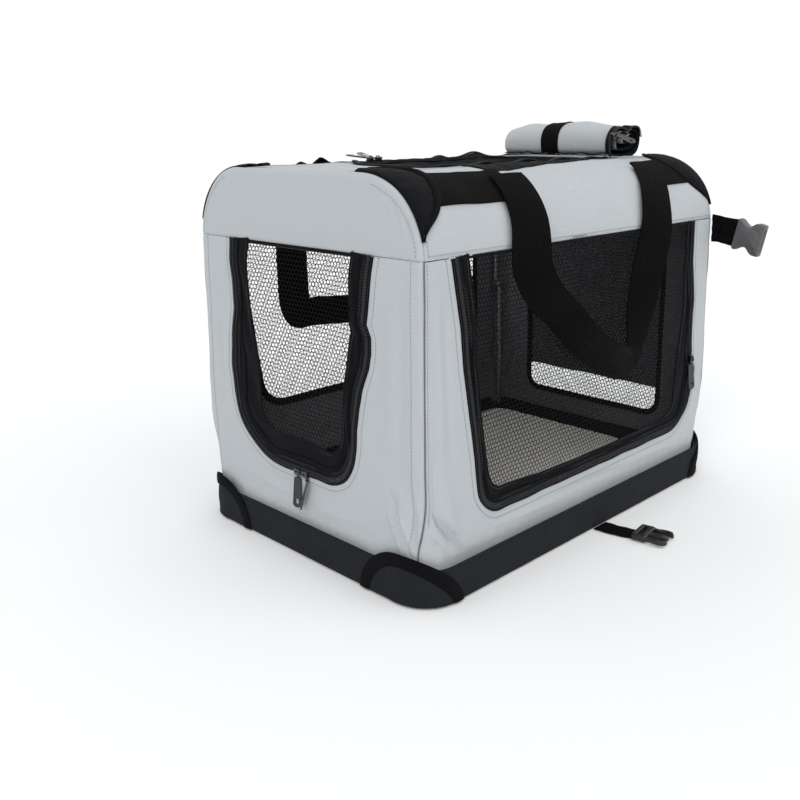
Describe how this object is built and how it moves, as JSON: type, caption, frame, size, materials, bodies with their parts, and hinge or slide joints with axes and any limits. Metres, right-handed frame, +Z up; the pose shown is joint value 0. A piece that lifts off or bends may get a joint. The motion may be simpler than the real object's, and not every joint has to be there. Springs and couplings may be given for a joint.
{
  "type": "pet carrier",
  "caption": "Folding soft-sided pet carrier: grey fabric cover over a knee-jointed steel frame and base tray, with zipped net doors, a net roof hatch under a rolled flap, and webbing handles.",
  "frame": {"origin": "centre of the base tray's underside, on the surface that the carrier stands on", "axes": "+Z up, +X along the length towards the rear end where the roof flap is rolled up, -X the zipped end door, -Y the zipped side door"},
  "size_m": [0.6, 0.5098, 0.506],
  "materials": {
    "grey_cloth": "matte woven polyester, light grey",
    "black_cloth": "matte woven polyester, black",
    "black_net": "fine knitted mesh, black",
    "webbing": "ribbed woven webbing, black",
    "steel": "satin steel tube",
    "zip_metal": "black enamel",
    "buckle_plastic": "moulded acetal, dark grey",
    "fleece": "short pile fleece, beige",
    "board": "stiff sheet"
  },
  "bodies": {
    "root": {"base_tray": "black_cloth", "floor_board": "board", "floor_mat": "fleece", "base_frame": "steel", "base_patch_front_right": "black_cloth", "base_patch_front_left": "black_cloth", "base_patch_rear_right": "black_cloth", "base_patch_rear_left": "black_cloth", "front_wall": "grey_cloth", "rear_wall": "grey_cloth", "right_wall": "grey_cloth", "left_wall": "grey_cloth", "rear_window": "black_net", "left_window": "black_net", "rear_flap": "grey_cloth", "front_zip": "black_cloth", "side_zip": "black_cloth", "closing_strap": "webbing", "strap_buckle": "buckle_plastic"},
    "front_legs": {"front_leg_right": "steel", "front_leg_left": "steel"},
    "front_hoop": {"front_hoop": "steel"},
    "roof": {"roof_bar_right": "steel", "roof_bar_left": "steel", "roof_panel": "grey_cloth", "roof_zip": "black_cloth", "left_shoulder": "grey_cloth", "right_shoulder": "grey_cloth", "top_patch_front_right": "black_cloth", "top_patch_front_left": "black_cloth", "top_patch_rear_right": "black_cloth", "top_patch_rear_left": "black_cloth", "front_band_left": "webbing", "front_band_right": "webbing", "rear_band_left": "webbing", "rear_band_right": "webbing", "roof_roll": "grey_cloth", "roll_strap": "webbing"},
    "rear_legs": {"rear_leg_right": "steel", "rear_leg_left": "steel"},
    "rear_hoop": {"rear_hoop": "steel"},
    "front_door": {"front_door": "black_net"},
    "side_door": {"side_door": "black_net"},
    "roof_hatch": {"roof_hatch": "black_net"},
    "right_handle": {"right_handle": "webbing"},
    "left_handle": {"left_handle": "webbing"},
    "end_slider_right": {"end_slider_right": "zip_metal"},
    "end_pull_right": {"end_pull_right": "zip_metal"},
    "end_slider_left": {"end_slider_left": "zip_metal"},
    "end_pull_left": {"end_pull_left": "zip_metal"},
    "side_slider": {"side_slider": "zip_metal"},
    "side_pull": {"side_pull": "zip_metal"},
    "roof_slider_front": {"roof_slider_front": "zip_metal"},
    "roof_pull_front": {"roof_pull_front": "zip_metal"},
    "roof_slider_rear": {"roof_slider_rear": "zip_metal"},
    "roof_pull_rear": {"roof_pull_rear": "zip_metal"},
    "rear_buckle": {"buckle_tab": "webbing", "rear_buckle": "buckle_plastic"}
  },
  "joints": [
    {"name": "fold", "type": "hinge", "parent": "root", "child": "front_legs", "pos_m": [-0.2773, 0, 0.03], "axis": [0, 1, 0], "range_deg": [0, 78], "deforming": ["front_wall", "rear_wall", "right_wall", "left_wall", "rear_window", "left_window", "rear_flap", "front_zip", "side_zip", "front_door", "side_door", "left_shoulder", "right_shoulder", "top_patch_front_right", "top_patch_front_left", "top_patch_rear_right", "top_patch_rear_left", "front_band_left", "front_band_right", "rear_band_left", "rear_band_right", "left_handle", "right_handle"]},
    {"name": "front_knee", "type": "hinge", "parent": "front_legs", "child": "front_hoop", "pos_m": [-0.2773, 0, 0.23755], "axis": [0, 1, 0], "range_deg": [-156, 0]},
    {"name": "front_sleeve", "type": "hinge", "parent": "front_hoop", "child": "roof", "pos_m": [-0.2773, 0, 0.4451], "axis": [0, 1, 0], "range_deg": [0, 78]},
    {"name": "rear_fold", "type": "hinge", "parent": "root", "child": "rear_legs", "pos_m": [0.2773, 0, 0.03], "axis": [0, 1, 0], "range_deg": [-78, 0]},
    {"name": "rear_knee", "type": "hinge", "parent": "rear_legs", "child": "rear_hoop", "pos_m": [0.2773, 0, 0.23755], "axis": [0, 1, 0], "range_deg": [0, 156]},
    {"name": "front_door_swing", "type": "hinge", "parent": "root", "child": "front_door", "pos_m": [-0.2928, 0, 0.3697], "axis": [0, -1, 0], "range_deg": [-100, 0]},
    {"name": "side_door_swing", "type": "hinge", "parent": "root", "child": "side_door", "pos_m": [0, -0.1912, 0.3697], "axis": [-1, 0, 0], "range_deg": [-88, 0]},
    {"name": "roof_hatch_swing", "type": "hinge", "parent": "roof", "child": "roof_hatch", "pos_m": [0.178, 0, 0.4553], "axis": [0, -1, 0], "range_deg": [-80, 0]},
    {"name": "right_handle_swing", "type": "hinge", "parent": "roof", "child": "right_handle", "pos_m": [0, -0.15728, 0.44259], "axis": [1, 0, 0], "range_deg": [-150, 0]},
    {"name": "left_handle_swing", "type": "hinge", "parent": "roof", "child": "left_handle", "pos_m": [0, 0.15728, 0.44259], "axis": [-1, 0, 0], "range_deg": [-150, 0]},
    {"name": "end_slider_right_travel", "type": "slide", "parent": "root", "child": "end_slider_right", "axis": [0, 1, 0], "range_m": [-0.028, 0]},
    {"name": "end_pull_right_swing", "type": "hinge", "parent": "end_slider_right", "child": "end_pull_right", "pos_m": [-0.2967, -0.0065, 0.099], "axis": [0, -1, 0], "range_deg": [-95, 0]},
    {"name": "end_slider_left_travel", "type": "slide", "parent": "root", "child": "end_slider_left", "axis": [0, -1, 0], "range_m": [-0.028, 0]},
    {"name": "end_pull_left_swing", "type": "hinge", "parent": "end_slider_left", "child": "end_pull_left", "pos_m": [-0.2967, 0.0065, 0.099], "axis": [0, -1, 0], "range_deg": [-95, 0]},
    {"name": "side_slider_travel", "type": "slide", "parent": "root", "child": "side_slider", "axis": [0, 0, -1], "range_m": [-0.17, 0]},
    {"name": "side_pull_swing", "type": "hinge", "parent": "side_slider", "child": "side_pull", "pos_m": [0.24505, -0.1987, 0.1698], "axis": [1, 0, 0], "range_deg": [-95, 0]},
    {"name": "roof_slider_front_travel", "type": "slide", "parent": "roof", "child": "roof_slider_front", "axis": [1, 0, 0], "range_m": [-0.01, 0]},
    {"name": "roof_pull_front_swing", "type": "hinge", "parent": "roof_slider_front", "child": "roof_pull_front", "pos_m": [-0.0915, 0.099, 0.4592], "axis": [-1, 0, 0], "range_deg": [-95, 0]},
    {"name": "roof_slider_rear_travel", "type": "slide", "parent": "roof", "child": "roof_slider_rear", "axis": [-1, 0, 0], "range_m": [-0.2, 0]},
    {"name": "roof_pull_rear_swing", "type": "hinge", "parent": "roof_slider_rear", "child": "roof_pull_rear", "pos_m": [-0.0785, 0.099, 0.4592], "axis": [-1, 0, 0], "range_deg": [-95, 0]},
    {"name": "rear_buckle_swing", "type": "hinge", "parent": "root", "child": "rear_buckle", "pos_m": [0.2938, -0.1948, 0.356], "axis": [0, 0, -1], "range_deg": [-70, 0]}
  ],
  "couplings": [
    {"joint": "front_knee", "follows": "fold", "ratio": -2},
    {"joint": "front_sleeve", "follows": "fold", "ratio": 1},
    {"joint": "rear_fold", "follows": "fold", "ratio": -1},
    {"joint": "rear_knee", "follows": "fold", "ratio": 2}
  ]
}
